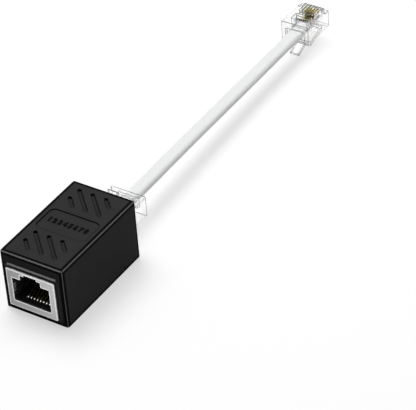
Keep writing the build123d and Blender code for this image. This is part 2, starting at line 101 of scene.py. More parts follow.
# Painted light: the shields grow lighter from this far left to this far right of the middle, up to
# this share
SHIELD_HALF = 8.0 * MM
SHIELD_LIGHT_SHARE = 0.5

# Where the camera and the lamps point
CAMERA_TARGET = Vector((0.0, 0.8, 10.0)) * MM
LAMP_TARGET = Vector((0.0, 50.0, 10.0)) * MM
# Each lamp's azimuth and elevation in degrees, and its width and height in metres
LAMPS = {
    "key": (-120.0, 68.0, (0.6, 0.6)),
    "front": (-37.0, 41.0, (0.5, 0.4)),
    "back": (137.0, 27.0, (0.5, 0.4)),
}
LAMP_DISTANCE = 1.0
# The world's light grows between these two places from the front, -1, to the back, 1
WORLD_LIGHT_STEP = (-0.8, 0.3)


# Small helpers for shader trees
def new_material(name):
    """An empty material with its output node."""
    material = bpy.data.materials.new(name)
    material.use_nodes = True
    material.node_tree.nodes.clear()
    material.node_tree.nodes.new("ShaderNodeOutputMaterial")
    return material


def add_node(tree, kind, values=None, **settings):
    """A node with its settings, and values or links for its inputs by name."""
    node = tree.nodes.new(kind)
    for key, value in settings.items():
        setattr(node, key, value)
    for key, value in (values or {}).items():
        if isinstance(value, bpy.types.NodeSocket):
            tree.links.new(value, node.inputs[key])
        else:
            node.inputs[key].default_value = value
    return node


def group_sockets(group, inputs, outputs):
    """Named sockets on a shader node group: {name: default} in, {name: type} out."""
    for name, default in inputs.items():
        kind = "NodeSocketVector" if isinstance(default, tuple) else "NodeSocketFloat"
        socket = group.interface.new_socket(name, in_out="INPUT", socket_type=kind)
        socket.default_value = default
    for name, kind in outputs.items():
        group.interface.new_socket(name, in_out="OUTPUT", socket_type=kind)
    return group.nodes.new("NodeGroupInput"), group.nodes.new("NodeGroupOutput")


def surface(material, shader):
    """Joins a shader to the material's output."""
    tree = material.node_tree
    tree.links.new(shader, tree.nodes["Material Output"].inputs["Surface"])
    return material


def blended(tree, factor, low, high):
    """The colour low, plain or from another node, going over to a plain high with the factor."""
    first = low if isinstance(low, bpy.types.NodeSocket) else (*low, 1.0)
    values = {0: factor, 6: first, 7: (*high, 1.0)}
    return add_node(tree, "ShaderNodeMix", values, data_type="RGBA").outputs[2]


def ranged(tree, value, low, high):
    """A value from 0 to 1 brought to another range."""
    node = add_node(tree, "ShaderNodeMapRange", {"Value": value, "To Min": low, "To Max": high})
    return node.outputs["Result"]


# Shared effects
def moulded_grain_group():
    """Spark-eroded mould texture: fine pits, and slow drifts in gloss."""
    group = bpy.data.node_groups.new("moulded_grain", "ShaderNodeTree")
    start, end = group_sockets(
        group,
        {"Pit Size": 0.15, "Pit Depth": 0.004, "Drift Size": 6.0},
        {"Pits": "NodeSocketFloat", "Drift": "NodeSocketFloat", "Normal": "NodeSocketVector"})
    place = add_node(group, "ShaderNodeTexCoord").outputs["Object"]

    def scale_for(size_name):
        size = add_node(group, "ShaderNodeMath", operation="MULTIPLY")
        group.links.new(start.outputs[size_name], size.inputs[0])
        size.inputs[1].default_value = MM
        return add_node(
            group, "ShaderNodeMath", {0: 1.0, 1: size.outputs[0]}, operation="DIVIDE").outputs[0]

    pits = add_node(
        group, "ShaderNodeTexNoise",
        {"Vector": place, "Scale": scale_for("Pit Size"), "Detail": 2.0, "Roughness": 0.6})
    drift = add_node(
        group, "ShaderNodeTexNoise",
        {"Vector": place, "Scale": scale_for("Drift Size"), "Detail": 3.0, "Roughness": 0.5})
    depth = add_node(group, "ShaderNodeMath", operation="MULTIPLY")
    group.links.new(start.outputs["Pit Depth"], depth.inputs[0])
    depth.inputs[1].default_value = MM
    bump = add_node(
        group, "ShaderNodeBump",
        {"Strength": 1.0, "Distance": depth.outputs[0], "Height": pits.outputs["Fac"]})
    group.links.new(pits.outputs["Fac"], end.inputs["Pits"])
    group.links.new(drift.outputs["Fac"], end.inputs["Drift"])
    group.links.new(bump.outputs["Normal"], end.inputs["Normal"])
    return group


def edge_band_group():
    """Masks on a moulded box.

    Its first mask marks the rounded edges and the rims that stand proud of it, for gloss and a
    painted highlight; Shade marks a thin band on both sides of those edges and Recess the side walls
    of what is sunk into its top, both for painted shade.
    """
    group = bpy.data.node_groups.new("edge_band", "ShaderNodeTree")
    start, end = group_sockets(
        group,
        {"Middle": (0.0, 0.0, 0.0), "Half Size": (0.01, 0.01, 0.01), "Rounding": 0.6,
         "Shade Width": 0.4, "Rim Inset": 2.3},
        {"Polish": "NodeSocketFloat", "Shade": "NodeSocketFloat", "Recess": "NodeSocketFloat"})
    place = add_node(group, "ShaderNodeTexCoord").outputs["Object"]
    centred = add_node(group, "ShaderNodeVectorMath", {0: place}, operation="SUBTRACT")
    group.links.new(start.outputs["Middle"], centred.inputs[1])
    folded = add_node(group, "ShaderNodeVectorMath", {0: centred.outputs[0]}, operation="ABSOLUTE")
    inset = add_node(group, "ShaderNodeVectorMath", operation="SUBTRACT")
    group.links.new(start.outputs["Half Size"], inset.inputs[0])
    group.links.new(folded.outputs[0], inset.inputs[1])
    parts = add_node(group, "ShaderNodeSeparateXYZ", {0: inset.outputs[0]})

    def combined(operation, first, second):
        return add_node(
            group, "ShaderNodeMath", {0: first, 1: second}, operation=operation).outputs[0]

    def strongest(values):
        return combined("MAXIMUM", combined("MAXIMUM", values[0], values[1]), values[2])

    def nearness(reach):
        """1 along upright, side and end edges, falling to 0 at that reach on either face."""
        near = []
        for axis in "XYZ":
            node = add_node(
                group, "ShaderNodeMapRange",
                {"Value": parts.outputs[axis], "From Min": 0.0, "From Max": reach,
                 "To Min": 1.0, "To Max": 0.0})
            near.append(node.outputs["Result"])
        return [combined("MINIMUM", near[a], near[b]) for a, b in ((0, 1), (0, 2), (1, 2))]

    def stepped(value, low, high):
        node = add_node(
            group, "ShaderNodeMapRange",
            {"Value": value, "From Min": low, "From Max": high}, interpolation_type="SMOOTHSTEP")
        return node.outputs["Result"]

    rounding = combined("MULTIPLY", start.outputs["Rounding"], MM)
    shade = combined("MULTIPLY", start.outputs["Shade Width"], MM)
    edges = [stepped(near, *POLISH_AND_HIGHLIGHT_STEP) for near in nearness(rounding)]
    # A painted dark band on both sides of the rounded edges
    around = strongest(
        [stepped(near, *BAND_STEP) for near in nearness(combined("ADD", rounding, shade))])
    # Gloss and a painted highlight along the rounded edges
    polish_and_highlight = strongest(
        [combined("MULTIPLY", edge, share) for edge, share in zip(edges, EDGE_POLISH_AND_HIGHLIGHT)])
    facing = add_node(group, "ShaderNodeNewGeometry").outputs["Normal"]
    upward = add_node(group, "ShaderNodeSeparateXYZ", {0: facing}).outputs["Z"]
    # A painted highlight on the up-facing top of the rims round the jacks, faint on their sides
    inset_from = combined("MULTIPLY", start.outputs["Rim Inset"], MM)
    between_corners = combined("GREATER_THAN", parts.outputs["X"], inset_from)
    top = combined("MULTIPLY", stepped(upward, *RIM_TOP_STEP), between_corners)
    proud = combined("LESS_THAN", parts.outputs["Y"], -RIM_PROUD)
    rim = combined("MULTIPLY", proud, combined("MAXIMUM", top, RIM_SIDE_POLISH_AND_HIGHLIGHT))
    group.links.new(combined("MAXIMUM", polish_and_highlight, rim), end.inputs["Polish"])
    group.links.new(combined("SUBTRACT", around, strongest(edges)), end.inputs["Shade"])
    # Painted shade on the side walls of recesses sunk into the top
    inland = combined("MINIMUM", parts.outputs["X"], parts.outputs["Y"])
    wall = combined(
        "MULTIPLY", combined("LESS_THAN", upward, WALL_UPWARD),
        combined("GREATER_THAN", inland, RECESS_INLAND))
    shallow = combined("LESS_THAN", parts.outputs["Z"], RECESS_DEPTH)
    group.links.new(combined("MULTIPLY", wall, shallow), end.inputs["Recess"])
    return group


def edge_line_group():
    """1 in a thin line along every sharp edge, from how a rounded edge would turn there."""
    group = bpy.data.node_groups.new("edge_line", "ShaderNodeTree")
    start, end = group_sockets(group, {"Width": 0.1}, {"Line": "NodeSocketFloat"})
    reach = add_node(
        group, "ShaderNodeMath", {0: start.outputs["Width"], 1: MM}, operation="MULTIPLY")
    rounded = add_node(group, "ShaderNodeBevel", {"Radius": reach.outputs[0]}, samples=6)
    plain = add_node(group, "ShaderNodeNewGeometry")
    likeness = add_node(
        group, "ShaderNodeVectorMath",
        {0: rounded.outputs["Normal"], 1: plain.outputs["Normal"]}, operation="DOT_PRODUCT")
    line = add_node(
        group, "ShaderNodeMapRange",
        {"Value": likeness.outputs["Value"], "From Min": 0.995, "From Max": 0.95})
    group.links.new(line.outputs["Result"], end.inputs["Line"])
    return group


def placed_group(tree, name, values):
    """A shared effect, placed in a material with its own values."""
    node = tree.nodes.new("ShaderNodeGroup")
    node.node_tree = bpy.data.node_groups[name]
    for key, value in values.items():
        node.inputs[key].default_value = value
    return node


def edge_lines(tree, width):
    """1 in lines of a width in mm along the sharp edges."""
    return placed_group(tree, "edge_line", {"Width": width}).outputs["Line"]


# Finishes
def black_moulding(name, settings, edge_box=None, roughness=None, shade=1.0):
    """Black moulded plastic. Where a box is given, its edges get gloss and a painted highlight, and
    painted shade lies along sharp edges, beside the rounded edges and on recess walls. A shade below
    1 darkens the whole black, as painted shade.
    """
    material = new_material(name)
    tree = material.node_tree
    grain = placed_group(tree, "moulded_grain", {
        "Pit Size": settings.pit_size, "Pit Depth": settings.pit_depth,
        "Drift Size": settings.drift_size})
    colour = blended(
        tree, grain.outputs["Drift"],
        [0.85 * shade * c for c in settings.colour], [1.15 * shade * c for c in settings.colour])
    base = settings.roughness if roughness is None else roughness
    gloss = ranged(tree, grain.outputs["Pits"], base - 0.05, base + 0.05)
    shader = add_node(tree, "ShaderNodeBsdfPrincipled", {
        "Roughness": gloss, "Normal": grain.outputs["Normal"],
        "Specular IOR Level": settings.specular})
    if edge_box is not None:
        low, high = edge_box
        edge = placed_group(tree, "edge_band", {
            "Middle": tuple((low + high) / 2), "Half Size": tuple((high - low) / 2),
            "Rounding": settings.edge_rounding, "Shade Width": settings.edge_shade})
        # Painted shade: dark lines along sharp edges, bands beside the rounded edges, and recess walls
        shadow = [SHADOW_SHARE * c for c in settings.colour]
        painted_shade_places = (
            edge_lines(tree, settings.line_width), edge.outputs["Shade"], edge.outputs["Recess"])
        for mask in painted_shade_places:
            colour = blended(tree, mask, colour, shadow)
        # A painted highlight in a lighter colour on the rounded edges and rims, under a real coat of
        # gloss
        colour = blended(tree, edge.outputs["Polish"], colour, settings.edge_colour)
        tree.links.new(edge.outputs["Polish"], shader.inputs["Coat Weight"])
        shader.inputs["Coat Roughness"].default_value = 0.2
        shader.inputs["Coat IOR"].default_value = 1.5
    tree.links.new(colour, shader.inputs["Base Color"])
    return surface(material, shader.outputs[0])


def facing_up(tree):
    """1 on what faces upwards, where the blades get a painted highlight."""
    facing = add_node(tree, "ShaderNodeNewGeometry").outputs["Normal"]
    upward = add_node(tree, "ShaderNodeSeparateXYZ", {0: facing}).outputs["Z"]
    return add_node(
        tree, "ShaderNodeMapRange",
        {"Value": upward, "From Min": 0.3, "From Max": 0.45}).outputs["Result"]


def at_bend(tree):
    """1 on the bends of the contacts, next to the two mouths, where a glint is painted."""
    tip = -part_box("front_contact_1")[0].y
    place = add_node(tree, "ShaderNodeTexCoord").outputs["Object"]
    along = add_node(tree, "ShaderNodeSeparateXYZ", {0: place}).outputs["Y"]
    distance = add_node(tree, "ShaderNodeMath", {0: along}, operation="ABSOLUTE").outputs[0]
    begins, full = BEND_SHINE
    return add_node(
        tree, "ShaderNodeMapRange",
        {"Value": distance, "From Min": tip - begins, "From Max": tip - full}).outputs["Result"]


def towards_right(tree):
    """Grows from the left of the jacks to their right, for painted light on the shields."""
    place = add_node(tree, "ShaderNodeTexCoord").outputs["Object"]
    across = add_node(tree, "ShaderNodeSeparateXYZ", {0: place}).outputs["X"]
    return add_node(
        tree, "ShaderNodeMapRange",
        {"Value": across, "From Min": -SHIELD_HALF, "From Max": SHIELD_HALF,
         "To Max": SHIELD_LIGHT_SHARE}).outputs["Result"]


def plated_metal(name, colour, roughness, streak_scale, painted_light_places):
    """Plated sheet metal with fine rolling streaks.

    The last argument holds masks, each with the lighter colour that it paints in as light: highlights,
    glints and a lighter side.
    """
    material = new_material(name)
    tree = material.node_tree
    place = add_node(tree, "ShaderNodeTexCoord").outputs["Object"]
    mapping = add_node(tree, "ShaderNodeMapping", {"Vector": place, "Scale": streak_scale})
    streaks = add_node(
        tree, "ShaderNodeTexNoise",
        {"Vector": mapping.outputs[0], "Scale": 1.0, "Detail": 4.0, "Roughness": 0.65})
    tone = blended(
        tree, streaks.outputs["Fac"], [0.75 * c for c in colour], [1.25 * c for c in colour])
    for mask, light in painted_light_places:
        tone = blended(tree, mask(tree), tone, light)
    gloss = ranged(tree, streaks.outputs["Fac"], roughness - 0.08, roughness + 0.1)
    bump = add_node(
        tree, "ShaderNodeBump",
        {"Strength": 1.0, "Distance": STREAK_DEPTH, "Height": streaks.outputs["Fac"]})
    shader = add_node(tree, "ShaderNodeBsdfPrincipled", {
        "Base Color": tone, "Metallic": 1.0, "Roughness": gloss, "Normal": bump.outputs[0]})
    return surface(material, shader.outputs[0])


def clear_moulding(name, settings):
    """Clear polycarbonate: faint flow ripples from the mould, and painted shade in dark lines along
    its edges.
    """
    material = new_material(name)
    tree = material.node_tree
    place = add_node(tree, "ShaderNodeTexCoord").outputs["Object"]
    ripple = add_node(
        tree, "ShaderNodeTexNoise", {"Vector": place, "Scale": 420.0, "Detail": 1.0})
    bump = add_node(
        tree, "ShaderNodeBump",
        {"Strength": 1.0, "Distance": settings.ripple * MM, "Height": ripple.outputs["Fac"]})
    gloss = ranged(tree, ripple.outputs["Fac"], 0.0, 0.05)
    # Painted shade: dark, less see-through lines along the edges
    edge = edge_lines(tree, settings.edge_width)
    tint = blended(tree, edge, settings.colour, settings.edge_colour)
    body = ranged(tree, edge, settings.body, 1.0)
    shader = add_node(tree, "ShaderNodeBsdfPrincipled", {
        "Base Color": tint, "Roughness": gloss, "Normal": bump.outputs[0], "Alpha": body,
        "IOR": 1.25, "Transmission Weight": 1.0, "Coat Weight": 0.4, "Coat Roughness": 0.03,
        "Coat IOR": 1.5})
    return surface(material, shader.outputs[0])


def insulation(name, colour):
    """Extruded wire insulation with lengthwise die lines."""
    material = new_material(name)
    tree = material.node_tree
    place = add_node(tree, "ShaderNodeTexCoord").outputs["Object"]
    mapping = add_node(tree, "ShaderNodeMapping", {"Vector": place, "Scale": (9000.0, 300.0, 9000.0)})
    lines = add_node(
        tree, "ShaderNodeTexNoise", {"Vector": mapping.outputs[0], "Scale": 1.0, "Detail": 2.0})
    tone = blended(tree, lines.outputs["Fac"], [0.82 * c for c in colour], colour)
    gloss = ranged(tree, lines.outputs["Fac"], 0.3, 0.42)
    shader = add_node(
        tree, "ShaderNodeBsdfPrincipled", {"Base Color": tone, "Roughness": gloss})
    return surface(material, shader.outputs[0])


def soft_jacket(name, settings):
    """White PVC jacket: satin, with faint die lines along the cord."""
    material = new_material(name)
    tree = material.node_tree
    along = add_node(tree, "ShaderNodeUVMap", uv_map="UVMap").outputs["UV"]
    stretched = add_node(
        tree, "ShaderNodeMapping", {"Vector": along, "Scale": (60.0, 5200.0, 1.0)})
    lines = add_node(
        tree, "ShaderNodeTexNoise", {"Vector": stretched.outputs[0], "Scale": 1.0, "Detail": 3.0})
    tone = blended(
        tree, lines.outputs["Fac"], [0.965 * c for c in settings.colour], settings.colour)
    gloss = ranged(tree, lines.outputs["Fac"], settings.roughness - 0.05, settings.roughness + 0.06)
    bump = add_node(
        tree, "ShaderNodeBump",
        {"Strength": 1.0, "Distance": 0.003 * MM, "Height": lines.outputs["Fac"]})
    shader = add_node(tree, "ShaderNodeBsdfPrincipled", {
        "Base Color": tone, "Roughness": gloss, "Normal": bump.outputs[0]})
    return surface(material, shader.outputs[0])


def solder_mask(name):
    """Green lacquered circuit board."""
    material = new_material(name)
    tree = material.node_tree
    place = add_node(tree, "ShaderNodeTexCoord").outputs["Object"]
    weave = add_node(
        tree, "ShaderNodeTexNoise", {"Vector": place, "Scale": 2500.0, "Detail": 2.0})
    tone = blended(tree, weave.outputs["Fac"], (0.008, 0.07, 0.03), (0.015, 0.12, 0.05))
    gloss = ranged(tree, weave.outputs["Fac"], 0.25, 0.38)
    shader = add_node(
        tree, "ShaderNodeBsdfPrincipled", {"Base Color": tone, "Roughness": gloss})
    return surface(material, shader.outputs[0])


def dress(names, material):
    """Gives CAD nodes a finish."""
    for name in names:
        mesh = nodes[name].data
        mesh.materials.clear()
        mesh.materials.append(material)


def add_piece(name, mesh, body="root"):
    """A new mesh piece that rides on a body."""
    piece = bpy.data.objects.new(name, mesh)
    bpy.context.scene.collection.objects.link(piece)
    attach(piece, body)
    return piece


def plain_mesh(source, name):
    """What a curve, text or modified object shows, as a plain mesh."""
    bpy.context.view_layer.update()
    evaluated = source.evaluated_get(bpy.context.evaluated_depsgraph_get())
    mesh = bpy.data.meshes.new_from_object(evaluated)
    mesh.name = name
    return mesh


# Cord
def cord_line(settings):
    """Points along the route's smooth line."""
    curve = bpy.data.curves.new("cord_route", "CURVE")
    curve.dimensions = "3D"
    curve.resolution_u = settings.line_steps
    spline = curve.splines.new("NURBS")
    spline.points.add(len(CORD_ROUTE) - 1)
    for point, place in zip(spline.points, CORD_ROUTE):
        point.co = (*place, 1.0)
    spline.order_u = 3
    spline.use_endpoint_u = True
    route = bpy.data.objects.new("cord_route", curve)
    bpy.context.scene.collection.objects.link(route)
    mesh = plain_mesh(route, "cord_line")
    points = [vertex.co.copy() for vertex in mesh.vertices]
    bpy.data.objects.remove(route)
    bpy.data.meshes.remove(mesh)
    return points


def jacket_section(settings):
    """Half-rounds at both sides of a flat middle, as (across, up) and length round."""
    radius = settings.thickness * MM / 2
    flat = settings.width * MM / 2 - radius
    ring = []
    for side, first in ((1, -90), (-1, 90)):
        for step in range(settings.round_steps + 1):
            angle = math.radians(first + 180 * step / settings.round_steps)
            ring.append(Vector((side * flat + radius * math.cos(angle), radius * math.sin(angle))))
    return ring


def jacket_mesh(line, section):
    """A closed tube of the section along the line, lying flat, with a UV map in metres."""
    vertices = []
    distance = [0.0]
    for number, point in enumerate(line):
        before = line[max(number - 1, 0)]
        after = line[min(number + 1, len(line) - 1)]
        along = (after - before).normalized()
        across = (Vector((1, 0, 0)) - along * along.x).normalized()
        up = across.cross(along)
        vertices += [point + across * x + up * z for x, z in section]
        if number:
            distance.append(distance[-1] + (point - before).length)
    count = len(section)
    around = [0.0]
    for number in range(count):
        around.append(around[-1] + (section[(number + 1) % count] - section[number]).length)
    faces = []
    places = []
    for ring in range(len(line) - 1):
        for number in range(count):
            after = (number + 1) % count
            faces.append((
                ring * count + number, ring * count + after,
                (ring + 1) * count + after, (ring + 1) * count + number))
            places += [
                (distance[ring], around[number]), (distance[ring], around[number + 1]),
                (distance[ring + 1], around[number + 1]), (distance[ring + 1], around[number])]
    last = (len(line) - 1) * count
    faces.append(tuple(reversed(range(count))))
    faces.append(tuple(range(last, last + count)))
    places += [(0.0, a) for a in reversed(around[:count])]
    places += [(distance[-1], a) for a in around[:count]]
    mesh = bpy.data.meshes.new("cord_jacket")
    mesh.from_pydata(vertices, [], faces)
    uv = mesh.uv_layers.new(name="UVMap")
    for loop, place in zip(uv.data, places):
        loop.uv = place
    for polygon in mesh.polygons:
        polygon.use_smooth = len(polygon.vertices) == 4
    mesh.update()
    return mesh


# Wires
def wire_tube_tree():
    """A bent wire with round corners, from a line of straight runs."""
    tree = bpy.data.node_groups.new("wire_tube", "GeometryNodeTree")
    tree.interface.new_socket("Line", in_out="INPUT", socket_type="NodeSocketGeometry")
    for name, default in (("Diameter", 0.9 * MM), ("Bend Radius", 1.0 * MM)):
        socket = tree.interface.new_socket(name, in_out="INPUT", socket_type="NodeSocketFloat")
        socket.default_value = default
    tree.interface.new_socket("Finish", in_out="INPUT", socket_type="NodeSocketMaterial")
    tree.interface.new_socket("Wire", in_out="OUTPUT", socket_type="NodeSocketGeometry")
    start = tree.nodes.new("NodeGroupInput")
    end = tree.nodes.new("NodeGroupOutput")
    bent = add_node(tree, "GeometryNodeFilletCurve", mode="POLY")
    bent.inputs["Count"].default_value = WIRE_BEND_STEPS
    bent.inputs["Limit Radius"].default_value = True
    tree.links.new(start.outputs["Line"], bent.inputs["Curve"])
    tree.links.new(start.outputs["Bend Radius"], bent.inputs["Radius"])
    half = add_node(tree, "ShaderNodeMath", operation="MULTIPLY")
    half.inputs[1].default_value = 0.5
    tree.links.new(start.outputs["Diameter"], half.inputs[0])
    ring = add_node(tree, "GeometryNodeCurvePrimitiveCircle", {"Resolution": WIRE_SIDES})
    tree.links.new(half.outputs[0], ring.inputs["Radius"])
    tube = tree.nodes.new("GeometryNodeCurveToMesh")
    tube.inputs["Fill Caps"].default_value = True
    tree.links.new(bent.outputs["Curve"], tube.inputs["Curve"])
    tree.links.new(ring.outputs["Curve"], tube.inputs["Profile Curve"])
    smooth = tree.nodes.new("GeometryNodeSetShadeSmooth")
    tree.links.new(tube.outputs["Mesh"], smooth.inputs["Geometry"])
    whole = tree.nodes.new("GeometryNodeRealizeInstances")
    tree.links.new(smooth.outputs["Geometry"], whole.inputs["Geometry"])
    finish = tree.nodes.new("GeometryNodeSetMaterial")
    tree.links.new(whole.outputs["Geometry"], finish.inputs["Geometry"])
    tree.links.new(start.outputs["Finish"], finish.inputs["Material"])
    tree.links.new(finish.outputs["Geometry"], end.inputs["Wire"])
    return tree


def set_input(modifier, name, value):
    """Sets a Geometry Nodes input by its socket's identifier."""
    for item in modifier.node_group.interface.items_tree:
        if item.item_type == "SOCKET" and item.in_out == "INPUT" and item.name == name:
            modifier[item.identifier] = value


def wire_points(node, jacket_end, settings):
    """From the cut end under the blades back to the jacket, as the CAD wire runs."""
    low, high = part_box(node)
    radius = settings.diameter * MM / 2
    jacket = Vector(jacket_end)
    outwards = 1 if abs(low.y - jacket.y) > abs(high.y - jacket.y) else -1
    start = high.y if outwards > 0 else low.y
    end = low.y if outwards > 0 else high.y
    heights = (low.z + radius, high.z - radius)
    far_height = max(heights, key=lambda z: abs(z - jacket.z))
    x = (low.x + high.x) / 2
    return [
        Vector((x, end, far_height)),
        Vector((x, start - outwards * settings.first_bend * MM, far_height)),
        Vector((x, start - outwards * settings.last_bend * MM, jacket.z)),
        Vector((x, start, jacket.z))]


def wire_mesh(name, points, tree, finish, settings):
    """The wire along its points, as a plain mesh."""
    curve = bpy.data.curves.new(name, "CURVE")
    curve.dimensions = "3D"
    spline = curve.splines.new("POLY")
    spline.points.add(len(points) - 1)
    for point, place in zip(spline.points, points):
        point.co = (*place, 1.0)
    line = bpy.data.objects.new(name, curve)
    bpy.context.scene.collection.objects.link(line)
    modifier = line.modifiers.new("wire_tube", "NODES")
    modifier.node_group = tree
    set_input(modifier, "Diameter", settings.diameter * MM)
    set_input(modifier, "Bend Radius", settings.bend_radius * MM)
    set_input(modifier, "Finish", finish)
    mesh = plain_mesh(line, name)
    bpy.data.objects.remove(line)
    return mesh


# Label
def number_mesh(settings):
    """A row of plain raised numbers, lying on the roof's label panel."""
    text = bpy.data.curves.new("contact_numbers", "FONT")
    text.body = " ".join(str(place) for place in PLACES)
    text.size = settings.height * MM
    text.align_x = "CENTER"
    text.align_y = "CENTER"
    text.space_word = settings.word_space
    text.extrude = settings.relief * MM / 2
    text.bevel_depth = settings.bevel * MM
    text.bevel_resolution = 1
    text.offset = settings.boldness * MM
    text.resolution_u = 6
    row = bpy.data.objects.new("contact_numbers", text)
    bpy.context.scene.collection.objects.link(row)
    mesh = plain_mesh(row, "contact_numbers")
    bpy.data.objects.remove(row)
    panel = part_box("housing_shell")[1].z - settings.panel_depth * MM
    widest = max(abs(vertex.co.x) for vertex in mesh.vertices)
    stretch = settings.half_row * MM / widest
    mesh.transform(
        Matrix.Translation((0.0, 0.0, panel + settings.relief * MM / 2))
        @ Matrix.Diagonal((stretch, 1.0, 1.0, 1.0)))
    return mesh


# Stage
def from_direction(azimuth, elevation):
    """The unit vector towards a viewer or a lamp at those angles, in degrees."""
    a = math.radians(azimuth)
    e = math.radians(elevation)
    return Vector((math.sin(a) * math.cos(e), -math.cos(a) * math.cos(e), math.sin(e)))


def make_camera(settings):
    """The camera stands where the photograph was taken from."""
    back = from_direction(settings.azimuth, settings.elevation)
    right = Vector((0, 0, 1)).cross(back).normalized()
    up = back.cross(right)
    roll = math.radians(settings.roll)
    across = right * math.cos(roll) + up * math.sin(roll)
    above = up * math.cos(roll) - right * math.sin(roll)
    place = (
        CAMERA_TARGET + across * settings.offset_right * MM + above * settings.offset_up * MM
        + back * settings.distance * MM)
    data = bpy.data.cameras.new("camera")
    data.lens = settings.lens
    data.sensor_width = 36.0
    data.clip_start = 0.01
    data.clip_end = 50.0
    camera = bpy.data.objects.new("camera", data)
    axes = Matrix((across, above, back)).transposed().to_4x4()
    camera.matrix_world = Matrix.Translation(place) @ axes
    bpy.context.scene.collection.objects.link(camera)
    bpy.context.scene.camera = camera


def make_lamp(name, azimuth, elevation, size, power):
    """A rectangular lamp that points at the object."""
    data = bpy.data.lights.new(name, "AREA")
    data.shape = "RECTANGLE"
    data.size, data.size_y = size
    data.energy = power
    lamp = bpy.data.objects.new(name, data)
    outwards = from_direction(azimuth, elevation)
    turn = (-outwards).to_track_quat("-Z", "Y").to_matrix().to_4x4()
    lamp.matrix_world = Matrix.Translation(LAMP_TARGET + outwards * LAMP_DISTANCE) @ turn
    bpy.context.scene.collection.objects.link(lamp)


def seen_directly(tree):
    """1 for camera, glossy and transmission rays, and 0 for the light that falls on things."""
    path = tree.nodes.new("ShaderNodeLightPath")
    either = add_node(
        tree, "ShaderNodeMath",
        {0: path.outputs["Is Camera Ray"], 1: path.outputs["Is Glossy Ray"]}, operation="MAXIMUM")
    return add_node(
        tree, "ShaderNodeMath",
        {0: either.outputs[0], 1: path.outputs["Is Transmission Ray"]}, operation="MAXIMUM").outputs[0]


def make_world(settings):
    """A white studio: dimmer light from the front, and a darker sky in what mirrors or bends it."""
    world = bpy.data.worlds.new("studio")
    world.use_nodes = True
    tree = world.node_tree
    tree.nodes.clear()
    path = tree.nodes.new("ShaderNodeLightPath")
    direction = add_node(tree, "ShaderNodeTexCoord").outputs["Generated"]
    parts = add_node(tree, "ShaderNodeSeparateXYZ", {0: direction}).outputs
    front, back = WORLD_LIGHT_STEP
    light = add_node(
        tree, "ShaderNodeMapRange",
        {"Value": parts["Y"], "From Min": front, "From Max": back,
         "To Min": settings.world_front, "To Max": settings.world_light}).outputs["Result"]

    def darker_overhead(overhead):
        """White at the horizon, falling to the given strength overhead."""
        return add_node(
            tree, "ShaderNodeMapRange",
            {"Value": parts["Z"], "From Min": settings.sky_low, "From Max": settings.sky_high,
             "To Min": 1.0, "To Max": overhead}).outputs["Result"]

    def chosen(ray, otherwise, value):
        """The value for one kind of ray, and what was chosen before for the others."""
        values = {0: path.outputs[ray], 2: otherwise, 3: value}
        return add_node(tree, "ShaderNodeMix", values, data_type="FLOAT").outputs[0]

    strength = chosen("Is Transmission Ray", light, darker_overhead(settings.sky_through))
    strength = chosen("Is Glossy Ray", strength, darker_overhead(settings.sky_mirrored))
    strength = chosen("Is Camera Ray", strength, 1.0)
    sky = add_node(
        tree, "ShaderNodeBackground", {"Color": (1.0, 1.0, 1.0, 1.0), "Strength": strength})
    output = tree.nodes.new("ShaderNodeOutputWorld")
    tree.links.new(sky.outputs[0], output.inputs["Surface"])
    bpy.context.scene.world = world


def make_floor(settings):
    """A matt white floor that keeps the object's shadow."""
    material = new_material("studio_floor")
    tree = material.node_tree
    place = add_node(tree, "ShaderNodeTexCoord").outputs["Object"]
    speckle = add_node(tree, "ShaderNodeTexNoise", {"Vector": place, "Scale": 40.0})
    tone = blended(
        tree, speckle.outputs["Fac"], [0.995 * c for c in settings.floor_colour],
        settings.floor_colour)
    paint = add_node(
        tree, "ShaderNodeBsdfPrincipled",
        {"Base Color": tone, "Roughness": 0.9, "Specular IOR Level": 0.0})
    lift = ranged(tree, seen_directly(tree), 0.0, settings.floor_lift)
    glow = add_node(tree, "ShaderNodeEmission", {"Strength": lift})
    both = add_node(tree, "ShaderNodeAddShader")
    tree.links.new(paint.outputs[0], both.inputs[0])
    tree.links.new(glow.outputs[0], both.inputs[1])
    surface(material, both.outputs[0])
    half = settings.floor_half
    mesh = bpy.data.meshes.new("floor")
    mesh.from_pydata(
        [(-half, -half, 0), (half, -half, 0), (half, half, 0), (-half, half, 0)], [], [(0, 1, 2, 3)])
    mesh.materials.append(material)
    floor = bpy.data.objects.new("floor", mesh)
    bpy.context.scene.collection.objects.link(floor)


# Settings
def colour_setting(name, description, default):
    return bpy.props.FloatVectorProperty(
        name=name, description=description, default=default, subtype="COLOR", size=3,
        min=0.0, max=1.0)


def number_setting(name, description, default, **options):
    return bpy.props.FloatProperty(name=name, description=description, default=default, **options)


def count_setting(name, description, default):
    return bpy.props.IntProperty(name=name, description=description, default=default, min=1)


class MouldingSettings(bpy.types.PropertyGroup):
    colour: colour_setting("Colour", "Black of the moulded plastic", (0.034, 0.034, 0.0345))
    # The edge colour is a painted highlight; the edge shade band and the edge lines are painted shade
    edge_colour: colour_setting("Edge colour", "Polished plastic on the edges", (0.3, 0.3, 0.302))
    edge_rounding: number_setting("Edge rounding", "Radius of the polished edges, mm", 0.6)
    edge_shade: number_setting("Edge shade", "Darker band beside the edges, mm", 0.6)
    line_width: number_setting("Line width", "Width of the dark lines along sharp edges, mm", 0.36)
    window_rim: number_setting("Window rim", "How far the rims round the jacks stand out, mm", 0.4)
    roughness: number_setting("Roughness", "Roughness of the faces", 0.5)
    specular: number_setting("Specular", "Strength of the surface reflection", 0.01)
    pit_size: number_setting("Pit size", "Size of the mould's pits, mm", 0.16)
    pit_depth: number_setting("Pit depth", "Depth of the mould's pits, mm", 0.004)
    drift_size: number_setting("Drift size", "Size of the slow drifts in gloss, mm", 7.0)
    insert_roughness: number_setting("Insert roughness", "Roughness of the jacks' inserts", 0.36)


